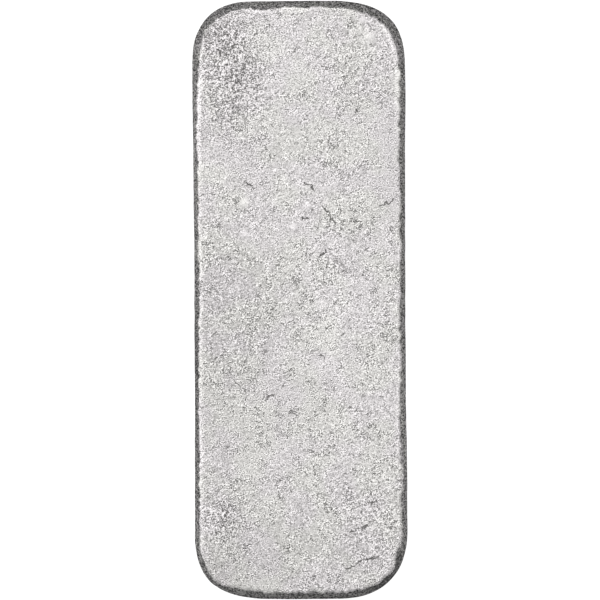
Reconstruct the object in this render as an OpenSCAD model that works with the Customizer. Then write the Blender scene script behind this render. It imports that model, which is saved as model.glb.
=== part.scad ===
// Cast metal ingot: one solid bar, lying on its larger face.
// Millimetres. Origin at the middle of the base, +Y along the bar towards its head end, +Z up.
// The walls lean inwards from the base to the face, as the mould's draft leaves them.

/* [Base] */
// Length of the bar at its base, end to end
base_length = 118; // [80:1:220]
// Width of the bar at its base, side to side
base_width = 41.8; // [32:0.2:90]
// Plan radius of the two corners at the head end
head_corner_r = 10.4; // [4:0.2:15]
// Plan radius of the two corners at the foot end
foot_corner_r = 11.8; // [4:0.2:15]

/* [Walls] */
// Height of the bar, from its base to its face
height = 20.7; // [12:0.1:45]
// Lean of the two long walls from upright, in degrees
side_draft = 3.4; // [1:0.1:8]
// Lean of the two end walls from upright, in degrees
end_draft = 6.2; // [1:0.1:12]

/* [Edges] */
// Radius of the edge round the face, where the mould's floor met its walls
face_edge_r = 0.5; // [0.2:0.1:2]
// Radius of the edge round the base, where the metal froze against the mould's rim
base_edge_r = 1.4; // [0.4:0.1:3]

/* [Hidden] */

metal_colour = [0.80, 0.80, 0.79];

// Straight pieces that stand for a quarter turn of a plan corner, and of a rounded edge
corner_steps = 12;
edge_steps = 5;

// How far the skinned walls run past the base and the face before both are trimmed flat
trim = 1;

// How far a rounded edge at the base pulls a wall in from its sharp foot
function rounding_loss(draft) = base_edge_r * (1 / cos(draft) + tan(draft) - 1);

// Half extents of the sharp base outline that the rounded one is cut from
half_x = base_width / 2 + rounding_loss(side_draft);
half_y = base_length / 2 + rounding_loss(end_draft);

// Straight edge that is always left at each end of the face, between its two corners
least_end_edge = 2;

// Largest plan corner that a narrow face has room for
roomiest_corner_r = half_x - inset(height, side_draft) - least_end_edge / 2;

// Distance from the sharp base outline in to the wall at height z, on the wall's own straight line
function wall_line(z, draft) = z * tan(draft);

// The same distance with the base edge's and the face edge's arcs in place of the line's two ends
function inset(z, draft) =
    let (
        base_centre = base_edge_r / cos(draft) + wall_line(base_edge_r, draft),
        face_level = height - face_edge_r,
        face_centre = face_edge_r / cos(draft) + wall_line(face_level, draft)
    )
    z < base_edge_r * (1 + sin(draft))
        ? base_centre - sqrt(max(0, pow(base_edge_r, 2) - pow(z - base_edge_r, 2)))
        : z > face_level + face_edge_r * sin(draft)
            ? face_centre - sqrt(max(0, pow(face_edge_r, 2) - pow(z - face_level, 2)))
            : wall_line(z, draft);

// How much of the inset is the edges' rounding, which the plan corners' radii shrink by
function rounding(z) = inset(z, side_draft) - wall_line(z, side_draft);

// Heights of the outlines that the bar is lofted through, from the base up
levels = [
    for (step = [0 : edge_steps]) base_edge_r * (1 - cos(90 * step / edge_steps)),
    base_edge_r * (1 + sin(max(side_draft, end_draft))),
    height - face_edge_r,
    for (step = [1 : edge_steps]) height - face_edge_r * (1 - sin(90 * step / edge_steps))
];

// One plan corner as points, turning from start_angle through a quarter turn about centre (x, y)
function corner(x, y, radius, start_angle, z) = [
    for (step = [0 : corner_steps])
        let (angle = start_angle + 90 * step / corner_steps)
        [x + radius * cos(angle), y + radius * sin(angle), z]
];

// The bar's outline at height z, anticlockwise from its right-hand wall
function outline(z) =
    let (
        x = half_x - inset(z, side_draft),
        y = half_y - inset(z, end_draft),
        head = min(head_corner_r, roomiest_corner_r) - rounding(z),
        foot = min(foot_corner_r, roomiest_corner_r) - rounding(z)
    )
    concat(
        corner(x - head, y - head, head, 0, z),
        corner(head - x, y - head, head, 90, z),
        corner(foot - x, foot - y, foot, 180, z),
        corner(x - foot, foot - y, foot, 270, z)
    );

// The stacked outlines, with the first and the last repeated past the base and the face
function wall_outlines() = concat(
    [shifted(outline(0), -trim)],
    [for (z = levels) outline(z)],
    [shifted(outline(height), trim)]
);

function shifted(points, rise) = [for (point = points) point + [0, 0, rise]];

// A solid skinned over equal-length outlines that stack upwards
module loft(outlines) {
    count = len(outlines[0]);
    last = len(outlines) - 1;
    base = [for (i = [0 : count - 1]) i];
    face = [for (i = [count - 1 : -1 : 0]) last * count + i];
    walls = [
        for (k = [0 : last - 1], i = [0 : count - 1])
            let (next = (i + 1) % count, low = k * count, high = low + count)
            each [[low + next, low + i, high + i], [low + next, high + i, high + next]]
    ];
    polyhedron(points = [for (ring = outlines) each ring], faces = concat([base, face], walls));
}

module ingot() {
    color(metal_colour)
        intersection() {
            loft(wall_outlines());
            translate([-base_width, -base_length, 0])
                cube([2 * base_width, 2 * base_length, height]);
        }
}

ingot();
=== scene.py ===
"""Looks of one cast silver ingot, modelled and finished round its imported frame.

The bar lies on its larger side, which was the open top of the mould, and shows the smaller one, which
was cast against the mould's floor. It is one piece of metal, so it is one closed mesh: a face, its worn
edge, four leaning walls and a base. Lengths are in metres unless a name or a docstring says millimetres.
"""

import logging
import math
from dataclasses import dataclass, field, replace
from enum import Enum

import bpy
import numpy as np
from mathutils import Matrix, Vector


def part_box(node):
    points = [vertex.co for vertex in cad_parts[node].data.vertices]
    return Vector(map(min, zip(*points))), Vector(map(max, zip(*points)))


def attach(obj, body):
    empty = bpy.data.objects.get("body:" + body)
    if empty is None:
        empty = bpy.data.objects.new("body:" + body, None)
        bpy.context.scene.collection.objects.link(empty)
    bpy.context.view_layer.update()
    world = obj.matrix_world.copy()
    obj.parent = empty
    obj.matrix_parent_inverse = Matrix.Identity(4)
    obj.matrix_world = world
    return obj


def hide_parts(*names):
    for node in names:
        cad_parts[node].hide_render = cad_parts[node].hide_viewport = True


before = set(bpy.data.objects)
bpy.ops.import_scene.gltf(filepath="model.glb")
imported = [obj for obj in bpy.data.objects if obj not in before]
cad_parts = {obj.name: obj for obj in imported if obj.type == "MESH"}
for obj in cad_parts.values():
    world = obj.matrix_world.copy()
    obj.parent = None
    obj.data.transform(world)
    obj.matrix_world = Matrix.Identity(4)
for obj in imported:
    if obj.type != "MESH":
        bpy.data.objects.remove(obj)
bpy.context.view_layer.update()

LOG = logging.getLogger("ingot")
MM = 0.001
Values = dict[str | int, object]


# ---- Patterns in the metal's skin, worked out for whole arrays of points ----


def smooth(low: float, high: float, values: np.ndarray) -> np.ndarray:
    """Ease from 0 at low to 1 at high, as 3t^2 - 2t^3; low may be above high, and then it falls.

    Args:
        low: Value at which the result leaves 0.
        high: Value at which the result reaches 1.
        values: Numbers to ease.

    Returns:
        Numbers from 0 to 1, one for each value.
    """
    t = np.clip((values - low) / (high - low), 0.0, 1.0)
    return t * t * (3.0 - 2.0 * t)


def scramble(cells: np.ndarray, seed: int) -> np.ndarray:
    """Give each lattice cell a fixed number with no pattern, by multiplying and folding its indices.

    Args:
        cells: Whole-number lattice indices, three to a row.
        seed: Number that tells one pattern from another.

    Returns:
        One 32-bit number for each row.
    """
    index = cells.astype(np.int64).astype(np.uint32)
    mixed = index[..., 0] * np.uint32(0x9E3779B1) ^ index[..., 1] * np.uint32(0x85EBCA77)
    mixed = mixed ^ index[..., 2] * np.uint32(0xC2B2AE3D) ^ np.uint32(seed * 2654435761 % 2**32)
    for shift, factor in ((15, 0x2C1B3C6D), (12, 0x297A2D39)):
        mixed = (mixed ^ (mixed >> np.uint32(shift))) * np.uint32(factor)
    return mixed ^ (mixed >> np.uint32(15))


@dataclass(frozen=True)
class Swell:
    """Smooth random waves of one length: gradient noise on a cubic lattice. Its lengths are in millimetres.

    At each lattice corner stands a random slope; the value at a point is the eight slopes' ramps, eased
    into each other across the cell by 6t^5 - 15t^4 + 10t^3. Their sum times 1.6 spans about -1 to 1.
    """

    wavelength: float
    height: float
    seed: int

    def at(self, points: np.ndarray) -> np.ndarray:
        """Work out the waves.

        Args:
            points: Places in the metal, three coordinates to a row.

        Returns:
            Heights up to about the swell's own height, above or below 0, one for each row.
        """
        place = points / self.wavelength
        cell = np.floor(place)
        inside = place - cell
        ease = inside**3 * (inside * (inside * 6.0 - 15.0) + 10.0)
        total = np.zeros(len(points))
        for corner in np.ndindex(2, 2, 2):
            code = scramble(cell + corner, self.seed)
            slope = np.stack([(code >> np.uint32(shift)) & np.uint32(1023) for shift in (0, 10, 20)], axis=-1)
            ramp = ((slope / 511.5 - 1.0) * (inside - corner)).sum(axis=-1)
            total += ramp * np.where(corner, ease, 1.0 - ease).prod(axis=-1)
        return self.height * 1.6 * total


def heaped(swells: tuple[Swell, ...], points: np.ndarray) -> np.ndarray:
    """Add up waves of several lengths at each place, in millimetres, three coordinates to a row."""
    return sum(swell.at(points) for swell in swells)


@dataclass(frozen=True)
class Pocks:
    """Round pits scattered one to a lattice cell, each off its cell's middle and of its own size.

    A pit of radius r is a bowl: its share of the full depth at distance d from its centre is
    (1 - (d/r)^2)^2, and 0 beyond r. All its lengths are in millimetres.
    """

    spacing: float
    smallest: float
    largest: float
    depth: float
    seed: int

    def at(self, points: np.ndarray, density: np.ndarray) -> np.ndarray:
        """Work out the bowls.

        Args:
            points: Places in the metal, three coordinates to a row.
            density: Share of the cells that hold a pit there, from 0 to 1.

        Returns:
            Share of the full depth from 0 to 1, one for each row.
        """
        place = points / self.spacing
        cell = np.floor(place)
        deepest = np.zeros(len(points))
        for step in np.ndindex(3, 3, 3):
            home = cell + step - 1
            code = scramble(home, self.seed)
            parts = [((code >> np.uint32(shift)) & np.uint32(255)) / 255.0 for shift in (0, 8, 16, 24)]
            centre = home + 0.5 + 0.7 * (np.stack(parts[:3], axis=-1) - 0.5)
            radius = (self.smallest + (self.largest - self.smallest) * parts[3] ** 2) / self.spacing
            chosen = scramble(home, self.seed + 1) / 2.0**32 < density
            away = ((place - centre) ** 2).sum(axis=-1) / radius**2
            deepest = np.maximum(deepest, np.where(chosen, np.clip(1.0 - away, 0.0, 1.0) ** 2, 0.0))
        return deepest


@dataclass(frozen=True)
class Wrinkle:
    """A short, hair-thin fold where two skins of metal met.

    In its own axes, t runs along it from -1 to 1 and d is the distance from the parabola bend (1 - t^2).
    It is felt over a strip as depth (1 - t^4) exp(-(d/reach)^2), and the finish cuts its thin line at d = 0.
    All its lengths are in millimetres, from the middle of the face; heading is in degrees from +X.
    """

    x: float
    y: float
    length: float
    heading: float
    bend: float = 0.2
    depth: float = 1.0
    reach: float = 0.8

    def strip(self, plan: np.ndarray) -> tuple[np.ndarray, np.ndarray]:
        """Work out where each place lies to the fold.

        Args:
            plan: Places on the face in millimetres, two to a row.

        Returns:
            Distance to the left of its line in millimetres, and how much it is felt there from 0 to 1.
        """
        turn = math.radians(self.heading)
        away = plan - (self.x, self.y)
        t = (away @ (math.cos(turn), math.sin(turn))) / (self.length / 2.0)
        d = away @ (-math.sin(turn), math.cos(turn)) - self.bend * (1.0 - np.minimum(t**2, 1.0))
        return d, self.depth * np.clip(1.0 - t**4, 0.0, 1.0) * np.exp(-((d / self.reach) ** 2))


@dataclass(frozen=True)
class Spot:
    """A round feature of the face: a pit where size is below 0, or a smooth blister where it is above.

    Its height is size (1 - (d/radius)^2)^2 at distance d. All its lengths are in millimetres.
    """

    x: float
    y: float
    radius: float
    size: float

    def shape(self, plan: np.ndarray) -> tuple[np.ndarray, np.ndarray]:
        """Work out the feature on the face.

        Args:
            plan: Places on the face in millimetres, two to a row.

        Returns:
            Its height in millimetres, and its share of that height from 0 to 1.
        """
        away = ((plan - (self.x, self.y)) ** 2).sum(axis=-1) / self.radius**2
        share = np.clip(1.0 - away, 0.0, 1.0) ** 2
        return self.size * share, share


@dataclass(frozen=True)
class Area:
    """A soft-edged oval of the bar's plan, with how much of a quality it has in its middle.

    The quality is amount exp(-d^2), where d is the distance from the middle in shares of the two reaches.
    All its lengths are in millimetres.
    """

    x: float
    y: float
    reach_x: float
    reach_y: float
    amount: float

    def share(self, plan: np.ndarray) -> np.ndarray:
        """Give the oval's quality at each place in plan, in millimetres, two to a row."""
        away = (plan - (self.x, self.y)) / (self.reach_x, self.reach_y)
        return self.amount * np.exp(-(away**2).sum(axis=-1))


# ---- The bar's shape ----


class Corner(Enum):
    """A plan corner of the bar, by its row and column in the plan's net."""

    FOOT_LEFT = (0, 0)
    FOOT_RIGHT = (0, 2)
    HEAD_LEFT = (2, 0)
    HEAD_RIGHT = (2, 2)


@dataclass(frozen=True)
class CornerCurve:
    """How far a plan corner reaches along the end and along the side, and how full its curve is."""

    across: float
    along: float
    fullness: float

    def tightened(self, amount: float) -> "CornerCurve":
        """Give the same curve with both its reaches less by an amount."""
        return replace(self, across=self.across - amount, along=self.along - amount)


@dataclass(frozen=True)
class Cells:
    """How many cells a plan grid has in each corner, along the straight ends and along the straight sides."""

    corner: int
    end: int
    side: int

    def coarser(self, step: int) -> "Cells":
        """Give the same grid with every so many cells made one."""
        return Cells(self.corner // step, self.end // step, self.side // step)


@dataclass(frozen=True)
class Plan:
    """A rounded oblong seen from above, filled with a grid of points.

    A net of 4 x 4 points divides it into four corner blocks, four edge blocks and a middle. A point at (a, b)
    in a block is found between the block's four net points. In a corner block (a, b) is first bent to
    (a sqrt(1 - b^2/2), b sqrt(1 - a^2/2)), which turns the square's two outer sides into a quarter circle,
    and then pushed out to the fuller curve |x|^n + |y|^n = 1.
    """

    left: float
    right: float
    foot: float
    head: float
    corners: dict[Corner, CornerCurve]
    waist: float = 0.0

    def inset(self, distance: float) -> "Plan":
        """Move the oblong's edges in and tighten its corners as much.

        Args:
            distance: How far they move.

        Returns:
            The smaller oblong.
        """
        corners = {name: curve.tightened(distance) for name, curve in self.corners.items()}
        edges = {side: getattr(self, side) - distance for side in ("left", "right", "foot", "head")}
        return replace(self, corners=corners, **edges)

    def net(self) -> np.ndarray:
        """Place the points that divide the oblong into its blocks, at the ends of the corners' reaches.

        Returns:
            4 x 4 points, foot row first and left column first, two coordinates each.
        """
        points = np.zeros((4, 4, 2))
        for row, end, sign in ((0, -self.foot, 1.0), (2, self.head, -1.0)):
            left, right = self.corners[Corner((row, 0))], self.corners[Corner((row, 2))]
            columns = (-self.left, left.across - self.left, self.right - right.across, self.right)
            outer, inner = (row, row + 1) if row == 0 else (row + 1, row)
            points[outer, :, 0] = points[inner, :, 0] = columns
            points[outer, :, 1] = end
            points[inner, :2, 1] = end + sign * left.along
            points[inner, 2:, 1] = end + sign * right.along
        return points

    def grid(self, cells: Cells) -> np.ndarray:
        """Fill the oblong.

        Args:
            cells: How many cells each part of the grid has.

        Returns:
            Points as rows from the foot to the head, each from left to right, two coordinates to a point.
        """
        column, a = self._steps((cells.corner, cells.end, cells.corner))
        row, b = self._steps((cells.corner, cells.side, cells.corner))
        column, row = np.meshgrid(column, row)
        a, b = np.meshgrid(a, b)
        for corner in Corner:
            here = (row == corner.value[0]) & (column == corner.value[1])
            a[here], b[here] = self._bend(a[here], b[here], corner)
        net = self.net()
        a, b = a[..., None], b[..., None]
        low = net[row, column] * (1.0 - a) + net[row, column + 1] * a
        high = net[row + 1, column] * (1.0 - a) + net[row + 1, column + 1] * a
        points = low * (1.0 - b) + high * b
        points[..., 0] *= 1.0 - self.waist * np.cos(math.pi * points[..., 1] / (self.foot + self.head)) ** 2
        return points

    def edgewise(self, points: np.ndarray) -> tuple[np.ndarray, np.ndarray]:
        """Find how each place lies to the outline.

        Away from the corners the distance in is that to the nearest edge. In a corner block it is (1 - k)
        over the steepness of k, where k = (u^n + v^n)^(1/n) and u, v are the shares of the corner's reaches
        A, B. k climbs straight out to the curve, along (u^(n-1)/A, v^(n-1)/B), which is k^(n-1) times as
        steep as k.

        Args:
            points: Places in plan, two coordinates or more to a row.

        Returns:
            Distance in from the outline, and the direction straight out to it.
        """
        x, y = points[:, 0], points[:, 1]
        side = np.stack([np.sign(x), np.sign(y)], axis=-1)
        across, along = np.where(x < 0, self.left, self.right), np.where(y < 0, self.foot, self.head)
        reach, power = np.zeros((len(points), 2)), np.zeros(len(points))
        for corner, curve in self.corners.items():
            row, column = corner.value
            here = ((x >= 0) == bool(column)) & ((y >= 0) == bool(row))
            reach[here], power[here] = (curve.across, curve.along), curve.fullness
        gap = np.stack([across, along], axis=-1) - abs(points[:, :2])
        share = np.maximum(1.0 - gap / reach, 0.0)
        rounded = (share > 0).all(axis=1)
        k = (share ** power[:, None]).sum(axis=1) ** (1.0 / power)
        climb = share ** (power[:, None] - 1.0) / reach
        steepness = np.linalg.norm(climb, axis=1) / np.maximum(k, 1e-6) ** (power - 1.0)
        inward = np.where(rounded, (1.0 - k) / np.maximum(steepness, 1e-6), gap.min(axis=1))
        nearest = gap == gap.min(axis=1, keepdims=True)
        outward = np.where(rounded[:, None], climb, nearest.astype(float)) * side
        return inward, outward / np.maximum(np.linalg.norm(outward, axis=1, keepdims=True), 1e-9)

    @staticmethod
    def _steps(counts: tuple[int, ...]) -> tuple[np.ndarray, np.ndarray]:
        """Space a grid's lines across a row of three blocks: evenly, but by share^1.25 in the outer two.

        Args:
            counts: How many cells each block has.

        Returns:
            Each line's block, and its share of the way across that block.
        """
        block = np.repeat(np.arange(len(counts)), counts)
        share = np.concatenate([np.arange(count) / count for count in counts])
        share = np.where(block == 0, share**1.25, np.where(block == 2, 1.0 - (1.0 - share) ** 1.25, share))
        return np.append(block, len(counts) - 1), np.append(share, 1.0)

    def _bend(self, a: np.ndarray, b: np.ndarray, corner: Corner) -> tuple[np.ndarray, np.ndarray]:
        """Turn a corner block's square of points into its rounded quarter, by the class's two formulas.

        Args:
            a: Shares of the way across the block.
            b: Shares of the way up the block.
            corner: Which corner it is.

        Returns:
            The same shares once bent.
        """
        row, column = corner.value
        a = a if column else 1.0 - a
        b = b if row else 1.0 - b
        round_a, round_b = a * np.sqrt(1.0 - b**2 / 2.0), b * np.sqrt(1.0 - a**2 / 2.0)
        angle, radius = np.arctan2(round_b, round_a), np.hypot(round_a, round_b)
        power = self.corners[corner].fullness
        fuller = (np.sin(angle) ** power + np.cos(angle) ** power) ** (-1.0 / power)
        push = 1.0 + (fuller - 1.0) * radius**2
        round_a, round_b = round_a * push, round_b * push
        return (round_a if column else 1.0 - round_a), (round_b if row else 1.0 - round_b)


def relaxed(grid: np.ndarray, rounds: int) -> np.ndarray:
    """Even out a grid's cells, because those at a rounded corner are slivers against the outline.

    In each round every inner point moves halfway to the mean of its four neighbours.

    Args:
        grid: Points by row and column, two coordinates each.
        rounds: How many times the points move.

    Returns:
        The same grid with the same outline.
    """
    eased = grid.copy()
    for _ in range(rounds):
        around = eased[:-2, 1:-1] + eased[2:, 1:-1] + eased[1:-1, :-2] + eased[1:-1, 2:]
        eased[1:-1, 1:-1] = 0.5 * eased[1:-1, 1:-1] + 0.125 * around
    return eased


def rim(grid: np.ndarray) -> np.ndarray:
    """Give a grid's border as one closed ring, anticlockwise from its first point."""
    return np.concatenate([grid[0, :-1], grid[:-1, -1], grid[-1, :0:-1], grid[:0:-1, 0]])


def quads(first: np.ndarray, second: np.ndarray) -> np.ndarray:
    """Give the two triangles of each cell between two rows of point numbers, which run the same way."""
    a, b, c, d = first[:-1], first[1:], second[1:], second[:-1]
    return np.stack([np.stack([a, b, c], axis=-1), np.stack([a, c, d], axis=-1)], axis=1).reshape(-1, 3)


def closed(ring: np.ndarray) -> np.ndarray:
    """Repeat a ring's first point number at its end."""
    return np.append(ring, ring[0])


def halving(fine: np.ndarray, coarse: np.ndarray) -> np.ndarray:
    """Join a ring to one with half as many points: three triangles to each of the coarser ring's steps.

    Args:
        fine: Point numbers of the upper ring, anticlockwise from above.
        coarse: Point numbers of the lower ring, half as many.

    Returns:
        The triangles, facing outwards.
    """
    start, middle, end = fine[0::2], fine[1::2], np.roll(fine[0::2], -1)
    here, there = coarse, np.roll(coarse, -1)
    sides = [(start, here, middle), (middle, here, there), (middle, there, end)]
    return np.concatenate([np.stack(corners, axis=-1) for corners in sides])


@dataclass
class Skin:
    """Points and triangles of the bar, as they are laid down."""

    points: list[np.ndarray] = field(default_factory=list)
    faces: list[np.ndarray] = field(default_factory=list)
    total: int = 0

    def lay(self, points: np.ndarray) -> np.ndarray:
        """Add points.

        Args:
            points: Three coordinates each, in any arrangement.

        Returns:
            Their numbers in the same arrangement.
        """
        flat = points.reshape(-1, 3)
        numbers = np.arange(self.total, self.total + len(flat)).reshape(points.shape[:-1])
        self.points.append(flat)
        self.total += len(flat)
        return numbers

    def join(self, faces: np.ndarray) -> None:
        """Add triangles, three point numbers each."""
        self.faces.append(faces)

    def cover(self, grid: np.ndarray, upwards: bool) -> None:
        """Add two triangles to each cell of an oblong's grid.

        Each cell is split along the diagonal that runs towards the oblong's nearest corner, so that the cell
        whose own corner lies flat on a rounded outline isn't left with a sliver there.

        Args:
            grid: Point numbers, row by row from the foot.
            upwards: Whether the triangles face upwards.
        """
        around = (grid[:-1, :-1], grid[:-1, 1:], grid[1:, 1:], grid[1:, :-1])
        a, b, c, d = (part.reshape(-1) for part in around)
        row, column = np.indices((grid.shape[0] - 1, grid.shape[1] - 1)).reshape(2, -1)
        rising = ((row < grid.shape[0] // 2) == (column < grid.shape[1] // 2))[:, None]
        first = np.where(rising, np.stack([a, b, c], axis=-1), np.stack([a, b, d], axis=-1))
        second = np.where(rising, np.stack([a, c, d], axis=-1), np.stack([b, c, d], axis=-1))
        faces = np.concatenate([first, second])
        self.join(faces if upwards else faces[:, ::-1])


def normals(points: np.ndarray, faces: np.ndarray) -> np.ndarray:
    """Find the direction that the triangles round each point face on average, weighted by their areas.

    Args:
        points: Three coordinates to a row.
        faces: Three point numbers to a row.

    Returns:
        A direction of length 1 for each point.
    """
    corners = points[faces]
    facing = np.cross(corners[:, 1] - corners[:, 0], corners[:, 2] - corners[:, 0])
    total = np.zeros_like(points)
    for corner in range(3):
        np.add.at(total, faces[:, corner], facing)
    return total / np.linalg.norm(total, axis=1, keepdims=True)


@dataclass(frozen=True)
class Relief:
    """Everything that stands up from or sinks into the bar's smooth shape, in millimetres from its middle.

    On the face, the skin is rough in coarse areas and smooth in polished ones, shade darkens it, and rim
    lightens its edge, partly as wear and partly as a painted highlight where the edge catches the light. A
    bite above 0 pushes that edge out, and one below 0 takes a piece off it. On the walls, areas of painted
    shade darken the metal, most on the head and foot walls and at the corners, one lightens it, and bulges
    swell it.
    """

    face_swells: tuple[Swell, ...] = (Swell(26.0, 0.10, 11), Swell(9.0, 0.05, 12))
    face_skin: tuple[Swell, ...] = (Swell(3.1, 0.018, 13), Swell(1.3, 0.012, 14))
    coarse_skin: Swell = Swell(1.3, 0.03, 14)
    face_pits: Pocks = Pocks(2.4, 0.25, 0.6, 0.12, 21)
    face_pit_density: float = 0.12
    coarse_pit_density: float = 0.7
    smoothing: float = 0.7
    pit_shade: float = 0.9
    blister_highlight: float = 0.45
    wall_laps: Swell = Swell(4.2, 0.09, 31)
    lap_stretch: tuple[float, float, float] = (0.16, 0.16, 1.0)
    wall_swells: tuple[Swell, ...] = (Swell(17.0, 0.10, 32), Swell(2.6, 0.045, 33))
    wall_pits: Pocks = Pocks(3.4, 0.4, 0.9, 0.16, 34)
    wall_pit_density: float = 0.3
    edge_bends: tuple[Swell, ...] = (Swell(11.0, 0.06, 53), Swell(3.6, 0.14, 52))
    edge_nicks: tuple[Swell, ...] = (Swell(1.4, 0.28, 51), Swell(0.75, 0.24, 54))
    dish_depth: float = 0.28
    dish_run: tuple[float, float] = (1.5, 14.0)
    ring_spacing: float = 3.6
    ring_height: float = 0.05
    ring_wander: Swell = Swell(12.0, 0.5, 41)
    base_grain: Swell = Swell(2.2, 0.05, 42)
    wrinkles: tuple[Wrinkle, ...] = (
        Wrinkle(-9.9, 22.4, 2.4, -32, 0.1),
        Wrinkle(2.0, 22.1, 3.1, -40, 0.15),
        Wrinkle(5.0, 17.4, 2.6, -55, 0.25),
        Wrinkle(6.4, 15.3, 2.4, -38, 0.15),
        Wrinkle(5.6, 14.1, 1.4, 42, 0.0),
        Wrinkle(10.6, 15.2, 2.6, 4, 0.1, 0.8),
        Wrinkle(17.0, 18.6, 4.0, 24, 0.2, 0.7),
        Wrinkle(1.2, 16.1, 1.8, -14, -0.3),
        Wrinkle(4.6, 8.9, 2.4, 48, 0.1, 0.9),
        Wrinkle(-5.9, -18.9, 2.4, 22, 0.2, 0.8),
        Wrinkle(-1.4, -22.2, 2.6, -35, 0.2, 0.8),
        Wrinkle(4.1, -11.1, 1.8, -20, 0.1),
        Wrinkle(12.6, -44.2, 2.4, 14, 0.1, 0.8),
        Wrinkle(10.2, -44.9, 2.2, 24, -0.1, 0.8),
        Wrinkle(12.9, -50.8, 5.6, 18, 0.2, 0.9),
        Wrinkle(9.6, -52.0, 2.6, 24, -0.1, 0.7),
        Wrinkle(14.2, -39.6, 1.8, 30, 0.2, 0.8),
        Wrinkle(-10.3, -47.9, 2.2, 35, 0.3, 0.7),
        Wrinkle(8.8, 43.4, 1.2, 28, 0.0, 0.8),
        Wrinkle(4.9, 42.3, 1.1, 30, 0.0, 0.7),
        Wrinkle(11.2, 36.7, 1.2, 32, 0.0, 0.7),
    )
    spots: tuple[Spot, ...] = (
        Spot(14.0, 51.0, 1.7, 0.2),
        Spot(-10.5, 18.9, 1.5, 0.14),
        Spot(1.6, 18.4, 1.4, 0.14),
        Spot(-1.2, 13.9, 1.2, 0.16),
        Spot(-10.5, 12.8, 1.1, 0.12),
        Spot(12.4, 54.4, 0.9, 0.06),
        Spot(-4.9, 18.8, 0.8, 0.05),
        Spot(-6.7, -10.1, 0.5, -0.22),
        Spot(-13.0, -19.0, 0.5, -0.2),
        Spot(-9.1, -15.5, 0.5, -0.2),
        Spot(15.4, -27.0, 0.5, -0.22),
        Spot(-14.3, -28.6, 0.5, -0.2),
        Spot(-4.0, -35.2, 0.5, -0.2),
        Spot(4.7, -21.7, 0.4, -0.18),
        Spot(12.1, -18.8, 0.4, -0.18),
        Spot(-17.2, -10.7, 0.4, -0.2),
        Spot(-16.4, -11.3, 0.4, -0.2),
        Spot(-15.7, -12.0, 0.4, -0.2),
    )
    coarse: tuple[Area, ...] = (
        Area(-12.5, 43.5, 6.5, 10.0, 1.0),
        Area(-15.0, 52.0, 5.0, 3.5, 0.5),
        Area(-15.5, -42.5, 3.5, 5.0, 0.9),
        Area(14.0, -44.0, 6.5, 8.0, 0.35),
        Area(12.0, 46.0, 8.0, 8.0, 0.2),
        Area(6.5, 6.0, 3.0, 3.0, 0.5),
    )
    polished: tuple[Area, ...] = (
        Area(-2.0, 32.0, 4.0, 7.0, 0.7),
        Area(-1.5, -44.0, 6.0, 5.0, 0.6),
        Area(9.5, -47.5, 3.0, 2.2, 0.6),
        Area(-8.0, 5.0, 2.5, 2.5, 0.5),
    )
    # Where the face's edge is painted lighter: partly wear, partly a painted highlight where the rounded edge
    # catches the light.
    rim: tuple[Area, ...] = (
        Area(-19.5, 40.0, 3.0, 12.0, 0.8),
        Area(-19.5, 5.0, 3.0, 22.0, 0.45),
        Area(-19.5, -32.0, 3.0, 16.0, 0.45),
        Area(18.2, 48.5, 2.6, 6.5, 1.0),
        Area(19.0, 40.0, 2.5, 7.0, 0.5),
        Area(19.0, -15.0, 2.5, 28.0, 0.3),
        Area(-6.0, 57.0, 7.0, 2.5, 0.45),
    )
    shade: tuple[Area, ...] = (
        Area(-17.5, 54.0, 6.0, 6.0, 0.12),
        Area(-8.0, 47.0, 4.5, 9.0, -0.08),
        Area(-16.5, 0.0, 5.0, 14.0, 0.12),
        Area(-17.0, -30.0, 4.5, 12.0, 0.07),
        Area(-8.0, -3.0, 5.0, 12.0, 0.07),
        Area(5.5, -2.0, 4.5, 11.0, -0.08),
        Area(-17.0, -53.0, 6.0, 5.0, 0.12),
        Area(0.0, -50.0, 14.0, 8.0, 0.10),
    )
    bites: tuple[Area, ...] = (
        Area(-7.0, 57.2, 2.6, 2.0, -0.5),
        Area(-14.5, 56.5, 2.5, 2.0, -0.35),
        Area(-18.0, 52.5, 4.0, 5.0, -0.4),
        Area(-20.0, 46.5, 2.0, 3.5, -0.45),
        Area(19.8, 47.5, 2.0, 4.0, -0.4),
        Area(20.0, 38.0, 2.0, 6.0, -0.3),
        Area(20.0, 28.0, 2.0, 3.0, -0.35),
        Area(20.0, -4.0, 2.0, 4.0, -0.25),
        Area(20.0, -20.0, 2.0, 7.0, -0.25),
        Area(20.0, -24.0, 2.0, 4.0, -0.15),
        Area(20.0, -31.5, 2.0, 2.0, -0.2),
        Area(20.0, -35.0, 2.0, 2.0, 0.3),
        Area(20.0, -41.5, 2.0, 5.0, -0.5),
        Area(19.5, -50.2, 1.6, 1.9, -0.6),
        Area(18.6, -53.5, 2.0, 2.0, 0.6),
        Area(16.5, -55.5, 3.0, 2.0, 0.25),
        Area(2.0, -57.5, 6.0, 2.0, -0.12),
        Area(-9.9, -57.0, 2.5, 2.0, -0.35),
        Area(-17.0, -54.0, 3.5, 3.5, 0.3),
        Area(-20.0, -13.0, 2.0, 3.0, 0.2),
        Area(-20.0, 4.0, 2.0, 3.0, -0.15),
        Area(-20.0, 10.0, 2.0, 2.0, 0.25),
        Area(-20.0, 19.0, 2.0, 5.0, -0.12),
        Area(-20.0, 31.0, 2.0, 10.0, 0.15),
    )
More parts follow.
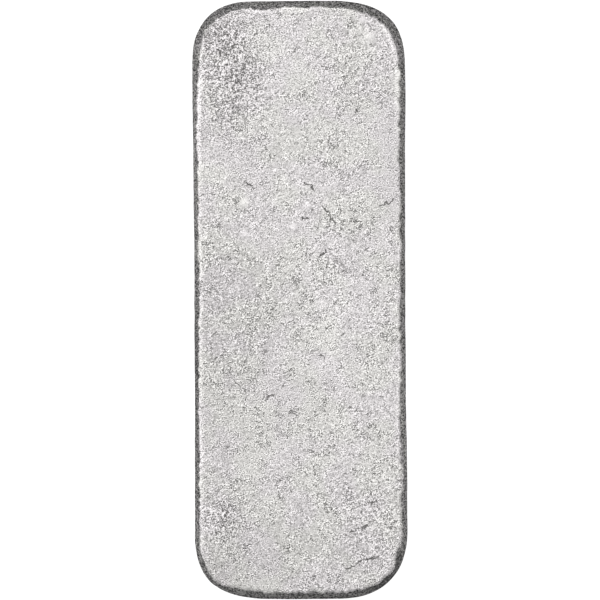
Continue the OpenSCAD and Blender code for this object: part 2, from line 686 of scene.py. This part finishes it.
    # Painted shade on the walls: darker on the head and foot walls, at the corners and low on the left wall,
    # and lighter in one place on the right wall.
    wall_shades: tuple[Area, ...] = (
        Area(0.0, 59.5, 24.0, 4.0, 0.36),
        Area(0.0, -59.5, 24.0, 4.0, 0.38),
        Area(17.0, 55.5, 4.0, 4.0, 0.25),
        Area(18.0, -54.5, 6.0, 6.0, 0.5),
        Area(-18.0, -53.5, 5.0, 5.0, 0.2),
        Area(-21.0, -18.0, 3.0, 24.0, 0.24),
        Area(-21.0, -10.0, 3.0, 9.0, 0.12),
        Area(21.0, -28.0, 3.0, 9.0, -0.16),
        Area(-17.0, 54.0, 6.0, 5.0, 0.2),
    )
    bulges: tuple[Area, ...] = (
        Area(22.0, 42.0, 4.0, 8.0, 0.2),
        Area(22.0, -40.0, 4.0, 12.0, 0.1),
    )

    def amount(self, areas: tuple[Area, ...], plan: np.ndarray) -> np.ndarray:
        """Add up a list of areas at each place on the face, to 1 at most."""
        return np.minimum(sum(area.share(plan) for area in areas), 1.0)

    def calm(self, plan: np.ndarray) -> np.ndarray:
        """Find how smooth the skin is at each place on the face: polished areas and blisters' crowns."""
        crowns = sum(smooth(0.0, 0.3, spot.shape(plan)[1]) for spot in self.spots if spot.size > 0)
        return np.minimum(self.amount(self.polished, plan) + crowns, 1.0)

    def face(self, points: np.ndarray) -> tuple[np.ndarray, np.ndarray]:
        """Work out the face's relief: broad swells, an uneven skin, scattered pits and the listed features.

        Args:
            points: Places on the face, three coordinates to a row.

        Returns:
            Height, and how hollow each place is from 0 to 1, which the finish turns into painted shade, or
            below 0 on a blister, whose crown the finish paints lighter as a highlight.
        """
        place = points / MM
        plan = place[:, :2]
        coarse = self.amount(self.coarse, plan)
        calm = 1.0 - self.smoothing * self.calm(plan)
        height = heaped(self.face_swells, place)
        height += calm * (heaped(self.face_skin, place) + coarse * self.coarse_skin.at(place))
        pits = self.face_pits.at(place, self.face_pit_density + self.coarse_pit_density * coarse)
        height -= self.face_pits.depth * pits
        # Pits are darkened in the finish as painted shade, and blisters' crowns lightened as a painted
        # highlight.
        hollow = self.pit_shade * pits
        for spot in self.spots:
            rise, share = spot.shape(plan)
            height += rise
            hollow += share if spot.size < 0 else -self.blister_highlight * share
        return height * MM, hollow

    def folds(self, plan: np.ndarray) -> tuple[np.ndarray, np.ndarray]:
        """Find the wrinkle that is felt most at each place, and by how much more than the next one.

        Args:
            plan: Places on the face in millimetres, two to a row.

        Returns:
            Distance to the left of its line in millimetres, and that difference from 0 to 1.
        """
        aside, felt = (np.array(rows) for rows in zip(*(wrinkle.strip(plan) for wrinkle in self.wrinkles)))
        most = felt.argmax(axis=0)
        ordered = np.sort(felt, axis=0)
        return np.take_along_axis(aside, most[None], axis=0)[0], ordered[-1] - ordered[-2]

    def wall(self, points: np.ndarray) -> tuple[np.ndarray, np.ndarray]:
        """Work out a wall's relief: low level laps, where the metal rose in the mould, and scattered pits.

        Args:
            points: Places on the walls, three coordinates to a row.

        Returns:
            Height, and how hollow each place is from 0 to 1.
        """
        place = points / MM
        height = self.wall_laps.at(place * self.lap_stretch) + heaped(self.wall_swells, place)
        height += sum(bulge.share(place[:, :2]) for bulge in self.bulges)
        pits = self.wall_pits.at(place, np.full(len(points), self.wall_pit_density))
        return (height - self.wall_pits.depth * pits) * MM, pits

    def edge(self, points: np.ndarray) -> np.ndarray:
        """Work out how far the face's worn edge strays outwards: slow bends, nicks and chips.

        Args:
            points: Places on the edge, three coordinates to a row.

        Returns:
            Distance outwards, one for each row.
        """
        place = points / MM
        chips = sum(bite.share(place[:, :2]) for bite in self.bites)
        return (heaped(self.edge_bends, place) + heaped(self.edge_nicks, place) + chips) * MM

    def base(self, points: np.ndarray, inward: np.ndarray) -> np.ndarray:
        """Work out the base's relief, which only sinks: a shallow dish with set rings, as the metal shrank.

        Args:
            points: Places on the base, three coordinates to a row.
            inward: Distance of each in from the base's edge.

        Returns:
            Depth of each place above the floor that the bar lies on.
        """
        place, depth_in = points / MM, inward / MM
        dish = smooth(*self.dish_run, depth_in)
        turns = (depth_in + self.ring_wander.at(place)) / self.ring_spacing
        rings = 0.5 + 0.5 * np.cos(2.0 * math.pi * turns)
        grain = smooth(0.0, 3.0, depth_in) * np.maximum(self.base_grain.at(place), 0.0)
        return (dish * (self.dish_depth + self.ring_height * rings) + grain) * MM


@dataclass
class Ingot:
    """The bar itself: sizes of its plan, walls and edges, and the mesh and finish made from them."""

    length: float
    width: float
    height: float
    lean_left: float = 3.2
    lean_right: float = 3.15
    lean_head: float = 5.8
    lean_foot: float = 5.95
    face_edge: float = 0.5 * MM
    base_edge: float = 1.4 * MM
    base_band: float = 1.0 * MM
    waist: float = 0.007
    left_out: float = 0.10 * MM
    right_out: float = 0.06 * MM
    worn_inwards: float = 2.6 * MM
    worn_downwards: float = 4.0 * MM
    rim_band: tuple[float, float] = (1.1 * MM, 0.7 * MM)
    face_upness: tuple[float, float] = (0.45, 0.97)
    wall_upness: tuple[float, float] = (-0.6, -0.1)
    cells: Cells = Cells(32, 76, 356)
    relief: Relief = Relief()
    corners: dict[Corner, CornerCurve] = field(
        default_factory=lambda: {
            Corner.FOOT_LEFT: CornerCurve(17.6 * MM, 14.8 * MM, 3.08),
            Corner.FOOT_RIGHT: CornerCurve(13.6 * MM, 13.7 * MM, 2.33),
            Corner.HEAD_LEFT: CornerCurve(11.9 * MM, 12.2 * MM, 2.38),
            Corner.HEAD_RIGHT: CornerCurve(16.2 * MM, 13.7 * MM, 2.85),
        }
    )
    face_rounds: int = 60
    base_rounds: int = 15
    tightening: dict[Corner, float] = field(
        default_factory=lambda: {
            Corner.FOOT_LEFT: 1.5 * MM,
            Corner.FOOT_RIGHT: 0.6 * MM,
            Corner.HEAD_LEFT: 1.4 * MM,
            Corner.HEAD_RIGHT: -1.0 * MM,
        }
    )

    def plan(self, level: float) -> Plan:
        """Give the bar's sharp-edged outline at a height, on the straight lines of its leaning walls.

        Args:
            level: Height above the base.

        Returns:
            The outline, widest at the level where the base's rounded edge ends.
        """
        rise = level - self.base_edge

        def reach(half: float, lean: float) -> float:
            """Give an edge's distance from the middle."""
            return half - rise * math.tan(math.radians(lean))

        share = level / self.height
        return Plan(
            reach(self.width / 2 + self.left_out, self.lean_left),
            reach(self.width / 2 + self.right_out, self.lean_right),
            reach(self.length / 2, self.lean_foot),
            reach(self.length / 2, self.lean_head),
            {name: curve.tightened(share * self.tightening[name]) for name, curve in self.corners.items()},
            self.waist,
        )

    def edge_levels(self) -> tuple[np.ndarray, np.ndarray]:
        """Divide the walls from the face down: the worn edge's arc, then rows, then the base edge's arc.

        Returns:
            Heights of the finer rows and of the coarser rows below them.
        """
        arc = np.radians(np.linspace(90.0, 0.0, 5))
        upper = self.height - self.face_edge * (1.0 - np.sin(arc))
        fine = np.append(upper[1:], upper[-1] - np.array([0.3, 0.65, 1.05]) * MM)
        foot = self.base_edge * (1.0 - np.sin(np.radians(np.linspace(0.0, 90.0, 6))))
        coarse = np.concatenate([np.linspace(fine[-1] - 0.5 * MM, foot[0], 34), foot[1:]])
        return fine, coarse

    def ring(self, level: float, step: int) -> np.ndarray:
        """Give the wall's points at one height, with both edges rounded.

        The plan at that height is moved in along the edges' quarter circles: by r - sqrt(r^2 - h^2), where h
        is how far the level is above or below the arc's own centre.

        Args:
            level: Height above the base.
            step: Every so many points of the finest ring are kept.

        Returns:
            Three coordinates to a point, anticlockwise from the foot's left corner.
        """
        above = max(0.0, level - (self.height - self.face_edge))
        below = max(0.0, self.base_edge - level)
        face_in = self.face_edge - math.sqrt(max(0.0, self.face_edge**2 - above**2))
        base_in = self.base_edge - math.sqrt(max(0.0, self.base_edge**2 - below**2))
        outline = rim(self.plan(level).inset(face_in + base_in).grid(self.cells.coarser(step)))
        return np.column_stack([outline, np.full(len(outline), level)])

    def skin(self) -> tuple[np.ndarray, np.ndarray, dict[str, np.ndarray]]:
        """Lay down the bar's smooth shape from the face to the base, and then raise its relief.

        Returns:
            Points, triangles, and for each point the numbers that the finish reads.
        """
        skin = Skin()
        cap = relaxed(self.plan(self.height).inset(self.face_edge).grid(self.cells), self.face_rounds)
        face = skin.lay(np.dstack([cap, np.full(cap.shape[:2], self.height)]))
        skin.cover(face, upwards=True)
        fine, coarse = self.edge_levels()
        above = rim(face)
        for level in fine:
            below = skin.lay(self.ring(level, 1))
            skin.join(quads(closed(below), closed(above)))
            above = below
        below = skin.lay(self.ring(coarse[0], 2))
        skin.join(halving(above, below))
        above = below
        for level in coarse[1:]:
            below = skin.lay(self.ring(level, 2))
            skin.join(quads(closed(below), closed(above)))
            above = below
        outline = self.plan(0.0).inset(self.base_edge + self.base_band)
        cap = relaxed(outline.grid(self.cells.coarser(4)), self.base_rounds)
        base = skin.lay(np.dstack([cap, np.zeros(cap.shape[:2])]))
        skin.join(halving(above, rim(base)))
        skin.cover(base, upwards=False)
        points, faces = np.concatenate(skin.points), np.concatenate(skin.faces)
        return self.raised(points, faces, int(base.min()))

    def raised(
        self, points: np.ndarray, faces: np.ndarray, base_start: int
    ) -> tuple[np.ndarray, np.ndarray, dict[str, np.ndarray]]:
        """Move each point of the smooth shape out along its normal by the relief there.

        Args:
            points: Places on the smooth shape.
            faces: Its triangles.
            base_start: Number of the base's first point.

        Returns:
            Points, triangles, and for each point the numbers that the finish reads.
        """
        facing = normals(points, faces)
        up = facing[:, 2]
        on_face = smooth(*self.face_upness, up)
        on_wall = (1.0 - on_face) * smooth(*self.wall_upness, up)
        face_height, face_hollow = self.relief.face(points)
        wall_height, wall_hollow = self.relief.wall(points)
        height = on_face * face_height + on_wall * wall_height
        moved = points + facing * height[:, None]
        inward, outward = self.plan(self.height).edgewise(points)
        near = smooth(self.worn_inwards, 0.3 * MM, inward)
        near *= smooth(self.height - self.worn_downwards, self.height - 0.4 * MM, points[:, 2])
        edge = np.column_stack([points[:, :2] + outward * inward[:, None], np.full(len(points), self.height)])
        moved[:, :2] += outward * (near * self.relief.edge(edge))[:, None]
        base = points[base_start:]
        depth_in, _ = self.plan(0.0).inset(self.base_edge).edgewise(base)
        moved[base_start:, 2] = self.relief.base(base, np.maximum(depth_in, 0.0))
        moved[:, 2] = np.maximum(moved[:, 2], 0.0)
        plan_mm = points[:, :2] / MM
        aside, fold = self.relief.folds(plan_mm)
        finish = {
            "aside": np.clip(aside, -2.0, 2.0),
            "fold": on_face * fold,
            "face": on_face,
            "hollow": on_face * face_hollow + on_wall * wall_hollow,
            "coarse": on_face * self.relief.amount(self.relief.coarse, plan_mm),
            "polished": on_face * self.relief.calm(plan_mm),
            "shade": on_face * self.relief.amount(self.relief.shade, plan_mm),
            # Painted shade on the walls.
            "wall_shade": on_wall * self.relief.amount(self.relief.wall_shades, plan_mm),
            # The edge's lightening: partly wear, partly a painted highlight.
            "worn_and_highlit": self.relief.amount(self.relief.rim, plan_mm) * smooth(*self.rim_band, inward),
        }
        return moved, faces, finish

    def build(self) -> bpy.types.Object:
        """Put the bar's skin into one mesh, with the numbers that its finish reads as attributes.

        Returns:
            The bar's object, at the origin.
        """
        points, faces, finish = self.skin()
        mesh = bpy.data.meshes.new("cast_ingot")
        mesh.from_pydata(points.tolist(), [], faces.tolist())
        mesh.polygons.foreach_set("use_smooth", np.ones(len(faces), bool))
        for name, values in finish.items():
            layer = mesh.attributes.new(name, "FLOAT", "POINT")
            layer.data.foreach_set("value", values.astype(np.float32))
        mesh.update()
        piece = bpy.data.objects.new("cast_ingot", mesh)
        bpy.context.scene.collection.objects.link(piece)
        return piece


# ---- Finishes ----


class Wire:
    """A number's socket in a node tree. Python's operators on it add Math nodes."""

    def __init__(self, bench: "Bench", socket: bpy.types.NodeSocket) -> None:
        """Keep the node tree's bench and the socket."""
        self.bench = bench
        self.socket = socket

    def math(self, operation: str, *values: object) -> "Wire":
        """Add a Math node.

        Args:
            operation: Blender's name of what it does.
            values: Its inputs in order, as numbers or wires.

        Returns:
            Its result.
        """
        return self.bench.wire("ShaderNodeMath", {"operation": operation}, dict(enumerate(values)))

    def __add__(self, other: object) -> "Wire":
        """Add a number or a wire."""
        return self.math("ADD", self, other)

    def __sub__(self, other: object) -> "Wire":
        """Take away a number or a wire."""
        return self.math("SUBTRACT", self, other)

    def __rsub__(self, other: object) -> "Wire":
        """Take this wire away from a number."""
        return self.math("SUBTRACT", other, self)

    def __mul__(self, other: object) -> "Wire":
        """Multiply by a number or a wire."""
        return self.math("MULTIPLY", self, other)

    __radd__ = __add__
    __rmul__ = __mul__

    def size(self) -> "Wire":
        """Drop the number's sign."""
        return self.math("ABSOLUTE", self)

    def clipped(self) -> "Wire":
        """Keep the number between 0 and 1."""
        return self.math("MAXIMUM", self.math("MINIMUM", self, 1.0), 0.0)

    def eased(self, low: float, high: float) -> "Wire":
        """Ease the number from 0 to 1, as 3t^2 - 2t^3.

        Args:
            low: Value at which the result leaves 0. It may be above high, and then the result falls.
            high: Value at which the result reaches 1.

        Returns:
            The eased number.
        """
        settings = {"interpolation_type": "SMOOTHSTEP"}
        if low < high:
            return self.bench.wire("ShaderNodeMapRange", settings, {0: self, 1: low, 2: high})
        return 1.0 - self.bench.wire("ShaderNodeMapRange", settings, {0: self, 1: high, 2: low})


@dataclass(frozen=True)
class Grain:
    """Smooth random waves in a finish: their length in millimetres, and the finer ones that ride on them."""

    size: float
    detail: float = 0.0
    rough: float = 0.5


@dataclass
class Bench:
    """A node tree being wired up."""

    tree: bpy.types.NodeTree

    def node(self, kind: str, settings: Values | None = None, values: Values | None = None) -> bpy.types.Node:
        """Add a node.

        Args:
            kind: Blender's name of its type.
            settings: Its properties, set first.
            values: Numbers, colours, sockets or wires for its inputs, by name or number.

        Returns:
            The node.
        """
        node = self.tree.nodes.new(kind)
        for name, value in (settings or {}).items():
            setattr(node, name, value)
        for name, value in (values or {}).items():
            source = value.socket if isinstance(value, Wire) else value
            if isinstance(source, bpy.types.NodeSocket):
                self.tree.links.new(source, node.inputs[name])
            else:
                node.inputs[name].default_value = source
        return node

    def wire(self, kind: str, settings: Values | None = None, values: Values | None = None) -> Wire:
        """Add a node and give its first output as a wire."""
        return Wire(self, self.node(kind, settings, values).outputs[0])

    def attribute(self, name: str) -> Wire:
        """Read one of the mesh's numbers."""
        return Wire(self, self.node("ShaderNodeAttribute", {"attribute_name": name}).outputs["Fac"])

    def grain(self, place: bpy.types.NodeSocket, grain: Grain) -> Wire:
        """Read random waves.

        Args:
            place: Coordinates in metres.
            grain: The waves.

        Returns:
            Number from 0 to 1.
        """
        values = {"Vector": place, "Scale": 1.0 / (grain.size * MM)}
        values |= {"Detail": grain.detail, "Roughness": grain.rough}
        return Wire(self, self.node("ShaderNodeTexNoise", {}, values).outputs["Fac"])

    def uneven(self, place: bpy.types.NodeSocket, grain: Grain) -> Wire:
        """Read random waves at a place in metres, as a number from -0.5 to 0.5."""
        return self.grain(place, grain) - 0.5

    def stretched(
        self, place: bpy.types.NodeSocket, stretch: tuple[float, float, float], heading: float = 0.0
    ) -> bpy.types.NodeSocket:
        """Draw a pattern out along three axes.

        Args:
            place: Coordinates.
            stretch: How many times longer the pattern becomes along each axis.
            heading: Turn of the first two axes about Z, in degrees.

        Returns:
            Coordinates for the pattern.
        """
        values = {"Vector": place, "Rotation": (0.0, 0.0, math.radians(heading)), "Scale": stretch}
        return self.node("ShaderNodeMapping", {"vector_type": "TEXTURE"}, values).outputs[0]

    def blend(
        self, share: Wire | float, first: object, second: object, how: str = "MIX"
    ) -> bpy.types.NodeSocket:
        """Mix two colours.

        Args:
            share: How much of the second.
            first: Colour or socket.
            second: Colour or socket.
            how: Blender's name of the way that they mix.

        Returns:
            The mixed colour's socket.
        """
        settings = {"data_type": "RGBA", "blend_type": how}
        return self.node("ShaderNodeMix", settings, {0: share, 6: first, 7: second}).outputs[2]


@dataclass(frozen=True)
class FaceSkin:
    """The patterns that the face's colour and its relief share."""

    coarse: Wire
    fine: Wire
    lumps: Wire
    broad: Wire
    patch: Wire
    strong: Wire
    dashes: Wire
    knots: Wire
    fold: Wire


@dataclass(frozen=True)
class CastSilver:
    """The bar's finish: bright pitted silver on the face, and a darker, duller skin down the walls.

    Its grains are named for what they make, and the heights and depths of its fine relief are in
    millimetres. The face's colour runs from shaded to bright and the walls' from wall_dark to wall; lilac and
    straw are faint tints over both.
    """

    bright: tuple[float, ...] = (0.98, 0.966, 0.963, 1.0)
    shaded: tuple[float, ...] = (0.16, 0.156, 0.152, 1.0)
    wall: tuple[float, ...] = (0.86, 0.85, 0.845, 1.0)
    wall_dark: tuple[float, ...] = (0.10, 0.099, 0.097, 1.0)
    lilac: tuple[float, ...] = (1.0, 0.98, 0.992, 1.0)
    straw: tuple[float, ...] = (0.995, 0.994, 0.97, 1.0)
    region: Grain = Grain(6.0, 1.0)
    patch: Grain = Grain(1.7, 2.0, 0.6)
    fine: Grain = Grain(0.24)
    grit: Grain = Grain(0.24, 1.0, 0.9)
    lumps: Grain = Grain(0.95, 1.0)
    broad: Grain = Grain(3.2, 2.0, 0.6)
    dashes: Grain = Grain(0.36, 1.0)
    knots: Grain = Grain(0.36, 1.0, 0.7)
    kinks: Grain = Grain(0.9, 1.0, 0.6)
    pebble: Grain = Grain(0.55, 2.0, 0.6)
    streak: Grain = Grain(0.34, 1.0, 0.6)
    glint: Grain = Grain(0.22)
    cloud: Grain = Grain(4.0, 3.0, 0.6)
    tint: Grain = Grain(6.5, 1.0)
    dash_heading: float = 38.0
    dash_stretch: tuple[float, float, float] = (2.2, 1.0, 1.0)
    pebble_stretch: tuple[float, float, float] = (1.0, 1.0, 1.0 / 0.3)
    streak_stretch: tuple[float, float, float] = (1.0, 1.0, 1.0 / 0.06)
    face_level: float = 0.522
    wall_level: float = 0.66
    grit_contrast: float = 5.4
    knot_contrast: float = 5.5
    fold_darkness: float = 1.3
    fine_height: float = 0.14
    lump_height: float = 0.022
    coarse_lump_height: float = 0.22
    broad_height: float = 0.05
    knot_height: float = 0.2
    dash_depth: float = 0.05
    fold_depth: float = 0.14
    pebble_height: float = 0.24
    face_rough: float = 0.28
    wall_smoothest: float = 0.15
    wall_roughest: float = 0.75

    def face_skin(self, bench: Bench, place: bpy.types.NodeSocket) -> FaceSkin:
        """Read the face's patterns.

        The skin is stronger in patches, and most of all where a patch lies in a rough region. A fold is the
        thin line where a wrinkle's own distance, made to wander by kinks, passes 0.

        Args:
            bench: The node tree.
            place: Coordinates in the metal.

        Returns:
            The patterns.
        """
        coarse, polished = bench.attribute("coarse"), bench.attribute("polished")
        region = bench.grain(place, self.region).eased(0.40, 0.66)
        patch = bench.grain(place, self.patch).eased(0.42, 0.66)
        strong = (0.35 + patch * (0.44 + 1.35 * region)) * (1.0 - 0.7 * polished) + 0.35 * coarse
        slanted = bench.stretched(place, self.dash_stretch, self.dash_heading)
        aside = bench.attribute("aside") + bench.uneven(place, self.kinks) * 2.0
        return FaceSkin(
            coarse=coarse,
            fine=bench.uneven(place, self.fine) * 1.25,
            lumps=bench.uneven(place, self.lumps),
            broad=bench.uneven(place, self.broad),
            patch=patch,
            strong=strong,
            dashes=bench.grain(slanted, self.dashes).eased(0.655, 0.70),
            knots=bench.uneven(place, self.knots) * coarse,
            fold=aside.size().eased(0.19, 0.06) * bench.attribute("fold"),
        )

    def silver(self, bench: Bench, place: bpy.types.NodeSocket, skin: FaceSkin) -> bpy.types.NodeSocket:
        """Colour the face: random grit, painted highlight on raised relief and its edge, painted shade in
        hollows.

        Args:
            bench: The node tree.
            place: Coordinates in the metal.
            skin: The face's patterns.

        Returns:
            The colour.
        """
        grit = bench.uneven(place, self.grit) * self.grit_contrast
        light = self.face_level - skin.coarse * 0.14 + skin.strong * (0.14 + grit)
        # Lumps, broad swells and knots follow the relief: lighter where it rises, as a painted highlight, and
        # darker where it sinks, as painted shade.
        light = light + skin.lumps * (0.05 + skin.coarse * 0.6) + skin.broad * 0.15
        # Dashes are slanted grooves painted dark as the shaded side of the relief under light from the upper
        # left.
        light = light + skin.knots * self.knot_contrast - skin.dashes * (0.15 + 0.35 * skin.patch)
        # Folds and pits get painted shade.
        light = light - skin.fold * self.fold_darkness - bench.attribute("hollow") * 0.5
        # The edge is painted lighter, partly wear and partly a painted highlight.
        light = light - bench.attribute("shade") + bench.attribute("worn_and_highlit") * (0.5 + skin.fine)
        return bench.blend(light.clipped(), self.shaded, self.bright)

    def relief(
        self, bench: Bench, place: bpy.types.NodeSocket, skin: FaceSkin, on_face: Wire
    ) -> bpy.types.NodeSocket:
        """Add up the fine relief, in millimetres: the face's skin, and pebbles on the walls.

        Args:
            bench: The node tree.
            place: Coordinates in the metal.
            skin: The face's patterns.
            on_face: How much of the face there is at each place, from 0 to 1.

        Returns:
            The normal.
        """
        pebble = bench.uneven(bench.stretched(place, self.pebble_stretch), self.pebble)
        lumpy = self.lump_height * skin.strong + self.coarse_lump_height * skin.coarse
        height = skin.fine * skin.strong * self.fine_height + skin.lumps * lumpy
        height = height + skin.broad * self.broad_height + skin.knots * self.knot_height
        height = height - skin.dashes * self.dash_depth - skin.fold * self.fold_depth
        height = height + (1.0 - on_face) * pebble * self.pebble_height
        return bench.node("ShaderNodeBump", {}, {"Height": height * MM, "Distance": 1.0}).outputs[0]

    def material(self) -> bpy.types.Material:
        """Wire up the finish.

        The walls' colour is a painted sheen, uneven in clouds and in upright streaks, with painted glints,
        and less where areas of painted shade lie on them.

        Returns:
            The material.
        """
        made = bpy.data.materials.new("cast_silver")
        made.use_nodes = True
        made.node_tree.nodes.clear()
        bench = Bench(made.node_tree)
        place = bench.node("ShaderNodeTexCoord").outputs["Object"]
        upright = bench.stretched(place, self.streak_stretch)
        skin = self.face_skin(bench, place)
        on_face = (bench.attribute("face") + 1.6 * skin.fine + 1.2 * skin.lumps).eased(0.38, 0.58)
        streak = bench.uneven(upright, self.streak)
        # Glints are painted highlights: sparse, thin upright bright streaks in the walls' colour.
        glint = bench.grain(upright, self.glint).eased(0.58, 0.72)
        # The walls' painted sheen: random tone in clouds and streaks, with the painted glints, less the
        # painted shade.
        sheen = self.wall_level + streak * 0.5 + bench.uneven(place, self.cloud) * 1.2
        sheen = sheen + skin.fine * 0.5 + glint * 0.5 - bench.attribute("wall_shade")
        dull = bench.blend(sheen.clipped(), self.wall_dark, self.wall)
        yellowing = bench.grain(place, self.tint).eased(0.38, 0.62) - skin.coarse * 0.8
        cast = bench.blend(yellowing.clipped(), self.lilac, self.straw)
        colour = bench.blend(on_face, dull, self.silver(bench, place, skin))
        wall_spread = (self.wall_roughest - self.wall_smoothest) * (streak + 0.5).eased(0.4, 0.6)
        surface = {
            "Base Color": bench.blend(1.0, colour, cast, "MULTIPLY"),
            "Metallic": 1.0,
            "Roughness": on_face * self.face_rough + (1.0 - on_face) * (self.wall_smoothest + wall_spread),
            "Normal": self.relief(bench, place, skin, on_face),
        }
        shader = bench.node("ShaderNodeBsdfPrincipled", {}, surface)
        bench.node("ShaderNodeOutputMaterial", {}, {"Surface": shader.outputs[0]})
        return made


@dataclass(frozen=True)
class StudioFloor:
    """A plain pale floor that glows a little, as a light table does, so that shadows on it stay faint."""

    colour: tuple[float, ...] = (0.5, 0.5, 0.5, 1.0)
    glow: float = 0.80

    def material(self) -> bpy.types.Material:
        """Wire up the floor's matt paint.

        Returns:
            The material.
        """
        made = bpy.data.materials.new("pale_floor")
        made.use_nodes = True
        shader = made.node_tree.nodes["Principled BSDF"]
        shader.inputs["Base Color"].default_value = self.colour
        shader.inputs["Roughness"].default_value = 0.9
        shader.inputs["Specular IOR Level"].default_value = 0.0
        shader.inputs["Emission Color"].default_value = (1.0, 1.0, 1.0, 1.0)
        shader.inputs["Emission Strength"].default_value = self.glow
        return made


# ---- The studio ----


@dataclass
class Studio:
    """A pale floor, a soft dome of light and a camera that looks straight down on the bar."""

    framed: float = 118.62 * MM
    lens: float = 400.0
    sensor: float = 36.0
    roll: float = -0.31
    floor_reach: float = 20.0
    zenith: float = 1.38
    shoulder: float = 1.2
    horizon: float = 0.70
    under: float = 0.50
    nadir: float = 0.04
    seam: float = 1.2
    high_slant: tuple[float, float] = (-0.42, 0.55)
    level_slant: tuple[float, float] = (-0.12, 0.18)
    low_slant: tuple[float, float] = (-0.08, 0.50)

    def floor(self) -> bpy.types.Object:
        """Lay the floor, a square at the level that the bar lies on.

        Returns:
            The floor's object.
        """
        reach = self.floor_reach
        mesh = bpy.data.meshes.new("floor")
        square = [(-reach, -reach, 0), (reach, -reach, 0), (reach, reach, 0), (-reach, reach, 0)]
        mesh.from_pydata(square, [], [(0, 1, 2, 3)])
        mesh.materials.append(StudioFloor().material())
        floor = bpy.data.objects.new("floor", mesh)
        floor.visible_glossy = False
        bpy.context.scene.collection.objects.link(floor)
        return floor

    def dome(self) -> bpy.types.World:
        """Light the sky as a tent: brightest overhead and to the head's left, and dim under the bar.

        Its strength is a function of up, the height of a direction from -1 to 1, which is then made more on
        one side than on the other by 1 + slant . (x, y). A thin bright seam at the horizon carries on the
        floor.

        Returns:
            The world.
        """
        world = bpy.data.worlds.new("tent")
        world.use_nodes = True
        world.node_tree.nodes.clear()
        bench = Bench(world.node_tree)
        towards = bench.node("ShaderNodeTexCoord").outputs["Generated"]
        parts = bench.node("ShaderNodeSeparateXYZ", {}, {0: towards}).outputs
        across, along, up = (Wire(bench, parts[axis]) for axis in "XYZ")
        light = up.eased(-0.95, -0.6) * (self.under - self.nadir) + self.nadir
        light = light + up.eased(-0.15, 0.15) * (self.horizon - self.under)
        light = light + up.eased(0.1, 0.55) * (self.shoulder - self.horizon)
        light = light + up.eased(0.60, 1.0) * (self.zenith - self.shoulder)
        high, low = up.eased(0.25, 0.6), up.eased(-0.5, -0.85)

        def slanted(slant: tuple[float, float]) -> Wire:
            """Give how much more light a slant brings from a direction."""
            return slant[0] * across + slant[1] * along

        lean = slanted(self.high_slant) * high + slanted(self.level_slant) * (1.0 - high - low)
        lean = lean + slanted(self.low_slant) * low
        light = light * (1.0 + lean) + self.seam * up.size().eased(0.04, 0.02)
        sky = bench.node("ShaderNodeBackground", {}, {"Strength": light})
        bench.node("ShaderNodeOutputWorld", {}, {"Surface": sky.outputs[0]})
        bpy.context.scene.world = world
        return world

    def camera(self) -> bpy.types.Object:
        """Hang the camera over the bar's middle, just high enough that the bar's length fills the frame.

        Returns:
            The camera's object.
        """
        lens = bpy.data.cameras.new("camera")
        lens.lens = self.lens
        lens.sensor_width = self.sensor
        camera = bpy.data.objects.new("camera", lens)
        camera.location = (0.0, 0.0, self.framed * self.lens / self.sensor)
        camera.rotation_euler = (0.0, 0.0, math.radians(self.roll))
        bpy.context.scene.collection.objects.link(camera)
        bpy.context.scene.camera = camera
        return camera

    def build(self) -> None:
        """Set up the floor, the light and the camera."""
        self.floor()
        self.dome()
        self.camera()
        bpy.context.scene.view_settings.view_transform = "Standard"


def main() -> None:
    """Build the studio and the bar, and report each piece."""
    logging.basicConfig(level=logging.INFO, format="%(name)s: %(message)s")
    low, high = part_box("ingot")
    size = high - low
    Studio().build()
    ingot = Ingot(size.y, size.x, size.z)
    piece = ingot.build()
    piece.data.materials.append(CastSilver().material())
    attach(piece, "root")
    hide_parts("ingot")
    LOG.info("%s: %d points, %d triangles", piece.name, len(piece.data.vertices), len(piece.data.polygons))


if __name__ == "__main__":
    main()
